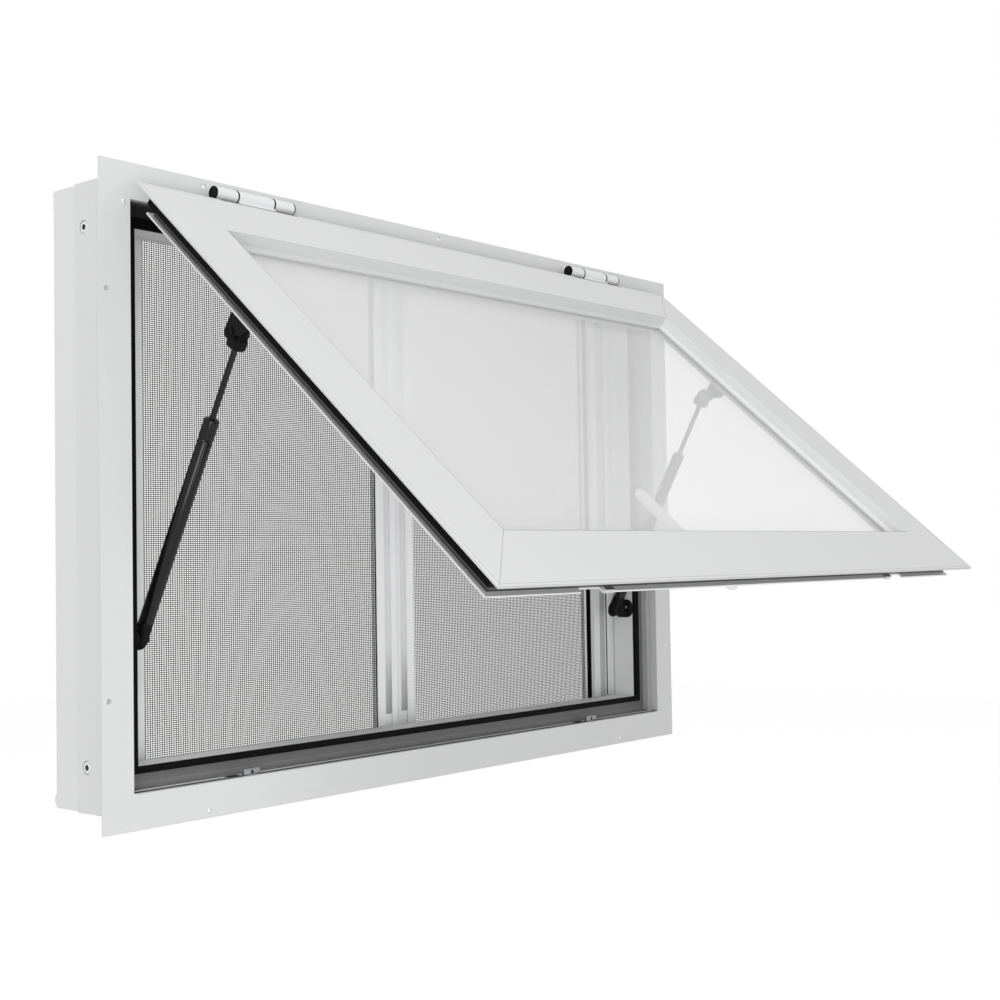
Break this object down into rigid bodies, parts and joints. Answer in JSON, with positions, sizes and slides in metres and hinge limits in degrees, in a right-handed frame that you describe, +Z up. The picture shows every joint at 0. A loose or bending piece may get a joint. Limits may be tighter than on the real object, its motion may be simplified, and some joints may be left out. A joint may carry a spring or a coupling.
{
  "type": "concession window",
  "caption": "Flanged aluminium serving window with sliding insect screens and a top hung glazed awning sash that opens outwards on gas struts.",
  "frame": {"origin": "on the back face of the fixing flange, in the middle of its lower strip", "axes": "+X along the sill to the right seen from the customer's side, +Y inwards through the wall, +Z up"},
  "size_m": [0.96, 0.5572, 0.64],
  "materials": {
    "white_frame": "satin powder coat",
    "white_screen": "satin powder coat",
    "mesh": "fine woven mesh",
    "rubber": "matt",
    "glass": "clear polished",
    "steel": "zinc plated",
    "white_hinge": "gloss white",
    "black_plastic": "satin",
    "black_metal": "gloss black",
    "rod": "dark polished",
    "white_plastic": "gloss white"
  },
  "bodies": {
    "window_frame": {"frame_head": "white_frame", "frame_sill": "white_frame", "frame_jamb_left": "white_frame", "frame_jamb_right": "white_frame", "frame_gasket": "rubber", "track_head": "white_frame", "track_sill": "white_frame", "track_jamb_left": "white_frame", "track_jamb_right": "white_frame", "screen_frame_left": "white_screen", "screen_frame_right": "white_screen", "screen_mesh_left": "mesh", "screen_mesh_right": "mesh", "side_screws": "steel", "keepers": "steel", "hinge_leaf_left": "white_hinge", "hinge_leaf_right": "white_hinge", "hinge_pin_left": "black_plastic", "hinge_pin_right": "black_plastic", "hinge_washers": "black_plastic", "strut_foot_left": "black_metal", "strut_foot_right": "black_metal"},
    "awning": {"sash_top_rail": "white_frame", "sash_bottom_rail": "white_frame", "sash_stile_left": "white_frame", "sash_stile_right": "white_frame", "sash_glass": "glass", "sash_gasket": "rubber", "glazing_seal": "rubber", "hinge_knuckle_left": "white_hinge", "hinge_knuckle_right": "white_hinge", "sash_bracket_left": "black_metal", "sash_bracket_right": "black_metal", "pull_handle": "white_plastic", "latch_tongues": "steel"},
    "left_cylinder": {"strut_cylinder_left": "black_metal", "strut_socket_left": "black_metal"},
    "left_rod": {"strut_rod_left": "rod", "strut_end_left": "black_metal"},
    "right_cylinder": {"strut_cylinder_right": "black_metal", "strut_socket_right": "black_metal"},
    "right_rod": {"strut_rod_right": "rod", "strut_end_right": "black_metal"}
  },
  "joints": [
    {"name": "awning_hinge", "type": "hinge", "parent": "window_frame", "child": "awning", "pos_m": [0, -0.01, 0.6185], "axis": [1, 0, 0], "range_deg": [0, 48.8]},
    {"name": "left_strut_pivot", "type": "hinge", "parent": "window_frame", "child": "left_cylinder", "pos_m": [-0.404, 0.04, 0.1725], "axis": [1, 0, 0], "range_deg": [-28.47, 0]},
    {"name": "left_rod_slide", "type": "slide", "parent": "left_cylinder", "child": "left_rod", "axis": [0, -0.4713, 0.882], "range_m": [-0.06186, 0]},
    {"name": "right_strut_pivot", "type": "hinge", "parent": "window_frame", "child": "right_cylinder", "pos_m": [0.404, 0.04, 0.1725], "axis": [1, 0, 0], "range_deg": [-28.47, 0]},
    {"name": "right_rod_slide", "type": "slide", "parent": "right_cylinder", "child": "right_rod", "axis": [0, -0.4713, 0.882], "range_m": [-0.06186, 0]}
  ],
  "couplings": [
    {"joint": "left_strut_pivot", "follows": "awning_hinge", "ratio": -0.58327},
    {"joint": "left_rod_slide", "follows": "awning_hinge", "m_per_rad": -0.072622},
    {"joint": "right_strut_pivot", "follows": "awning_hinge", "ratio": -0.58327},
    {"joint": "right_rod_slide", "follows": "awning_hinge", "m_per_rad": -0.072622}
  ]
}
